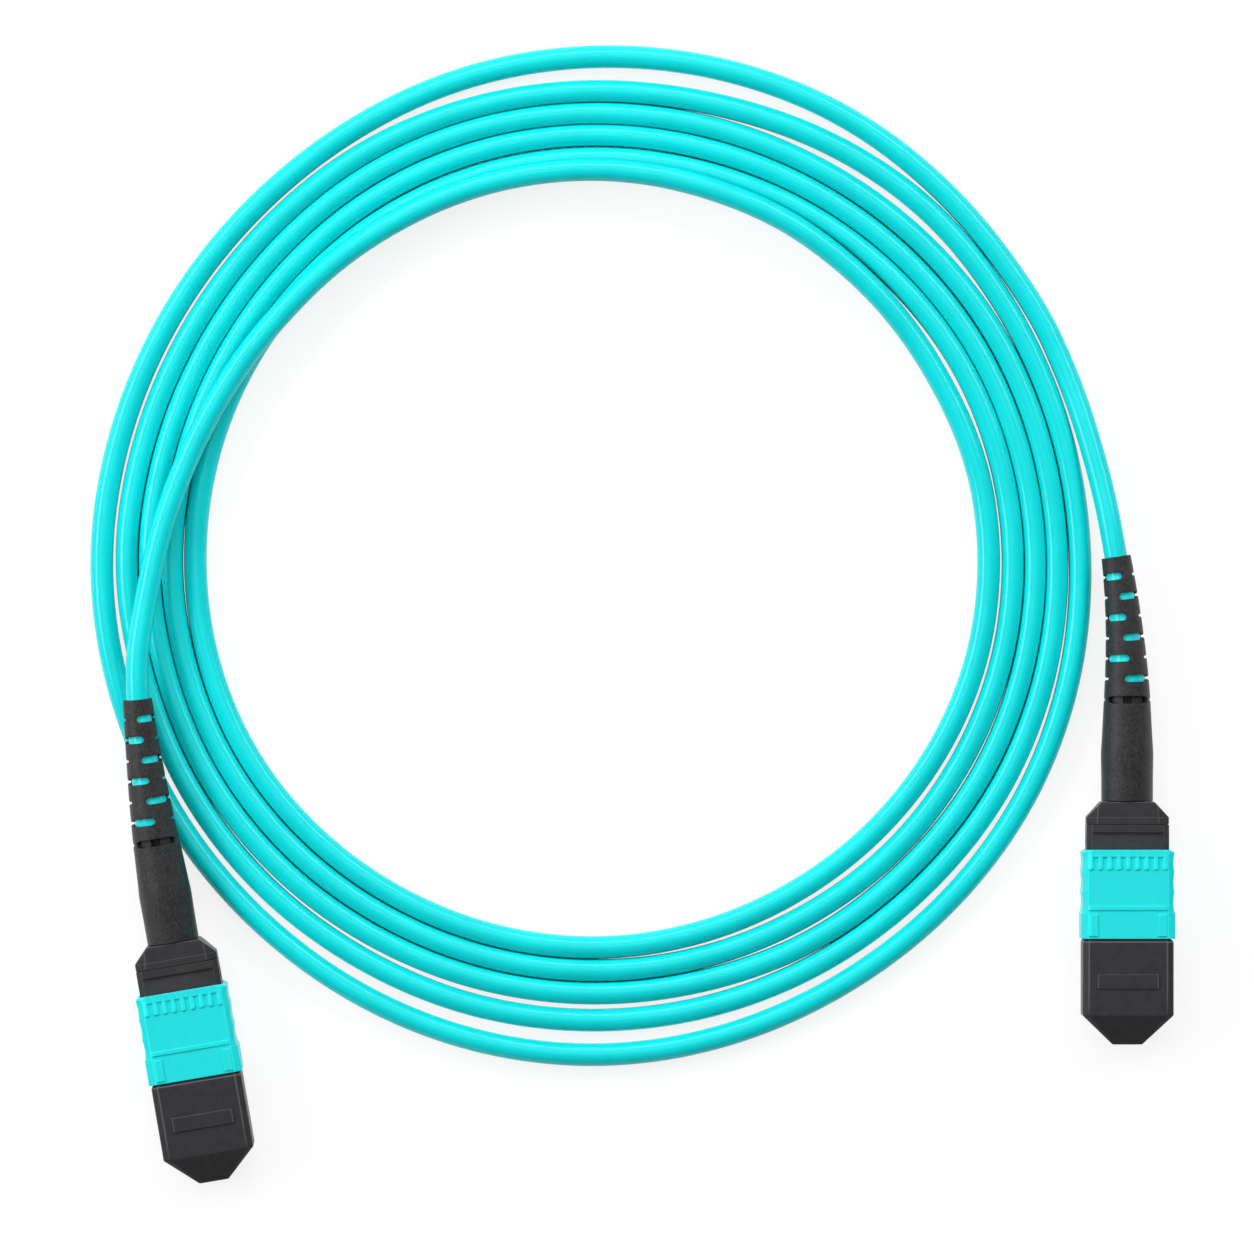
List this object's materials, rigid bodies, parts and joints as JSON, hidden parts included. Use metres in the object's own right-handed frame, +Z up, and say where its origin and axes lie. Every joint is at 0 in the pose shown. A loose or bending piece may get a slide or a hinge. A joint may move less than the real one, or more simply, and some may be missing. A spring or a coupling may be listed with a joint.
{
  "type": "mpo fibre connector",
  "caption": "Flat rectangular multi-fibre connector with push-pull sleeve, dust cap and slotted strain boot, on its coiled cord with a matching connector at the far end.",
  "frame": {"origin": "on the surface the connector lies on, under the middle of the near connector (cap tip to boot tip)", "axes": "+Y along the near connector from its dust cap to its strain boot, +Z up, +X to the right seen from above with the boot pointing away"},
  "size_m": [0.1464, 0.1538, 0.0092],
  "materials": {
    "cap_black": "fine matte moulding",
    "housing_black": "fine matte moulding",
    "collar_black": "fine matte moulding",
    "boot_black": "finely grained elastomer",
    "sleeve_aqua": "satin moulding",
    "cord_aqua": "smooth satin jacket",
    "ferrule_resin": "glass-filled resin, polished end face",
    "keeper_resin": "moulded",
    "ferrule_boot_rubber": "matte",
    "spring_steel": "drawn wire",
    "fibre_coating": "coated fibre",
    "aramid_yarn": "fine straight yarn",
    "crimp_metal": "plain, crimped"
  },
  "bodies": {
    "patch_cord": {"near_inner_housing": "housing_black", "near_spring_push": "collar_black", "near_aramid_sleeve": "aramid_yarn", "near_crimp_ring": "crimp_metal", "near_strain_boot": "boot_black", "near_coupling_spring_left": "spring_steel", "near_coupling_spring_right": "spring_steel", "near_ferrule_spring": "spring_steel", "far_inner_housing": "housing_black", "far_spring_push": "collar_black", "far_aramid_sleeve": "aramid_yarn", "far_crimp_ring": "crimp_metal", "far_strain_boot": "boot_black", "far_coupling_spring_left": "spring_steel", "far_coupling_spring_right": "spring_steel", "far_ferrule_spring": "spring_steel", "cord_tail_near": "cord_aqua", "cord_coil": "cord_aqua", "cord_tail_far": "cord_aqua"},
    "near_cap": {"near_dust_cap": "cap_black"},
    "near_sleeve": {"near_coupling_sleeve": "sleeve_aqua"},
    "near_ferrule": {"near_mt_ferrule": "ferrule_resin", "near_guide_pin_keeper": "keeper_resin", "near_ferrule_boot": "ferrule_boot_rubber", "near_fibre_ribbon": "fibre_coating"},
    "far_cap": {"far_dust_cap": "cap_black"},
    "far_sleeve": {"far_coupling_sleeve": "sleeve_aqua"},
    "far_ferrule": {"far_mt_ferrule": "ferrule_resin", "far_guide_pin_keeper": "keeper_resin", "far_ferrule_boot": "ferrule_boot_rubber", "far_fibre_ribbon": "fibre_coating"}
  },
  "joints": [
    {"name": "near_cap_pull", "type": "slide", "parent": "patch_cord", "child": "near_cap", "axis": [0, -1, 0], "range_m": [0, 0.02]},
    {"name": "near_sleeve_slide", "type": "slide", "parent": "patch_cord", "child": "near_sleeve", "axis": [0, 1, 0], "range_m": [0, 0.0022], "stiffness_N_per_m": 900, "springref_m": -0.002, "deforming": ["near_coupling_spring_left", "near_coupling_spring_right"]},
    {"name": "near_ferrule_float", "type": "slide", "parent": "patch_cord", "child": "near_ferrule", "axis": [0, 1, 0], "range_m": [0, 0.0008], "stiffness_N_per_m": 4000, "springref_m": -0.0018, "deforming": ["near_ferrule_spring"]},
    {"name": "far_cap_pull", "type": "slide", "parent": "patch_cord", "child": "far_cap", "axis": [0.1666, -0.9851, -0.0436], "range_m": [0, 0.02]},
    {"name": "far_sleeve_slide", "type": "slide", "parent": "patch_cord", "child": "far_sleeve", "axis": [-0.1666, 0.9851, 0.0436], "range_m": [0, 0.0022], "stiffness_N_per_m": 900, "springref_m": -0.002, "deforming": ["far_coupling_spring_left", "far_coupling_spring_right"]},
    {"name": "far_ferrule_float", "type": "slide", "parent": "patch_cord", "child": "far_ferrule", "axis": [-0.1666, 0.9851, 0.0436], "range_m": [0, 0.0008], "stiffness_N_per_m": 4000, "springref_m": -0.0018, "deforming": ["far_ferrule_spring"]}
  ]
}
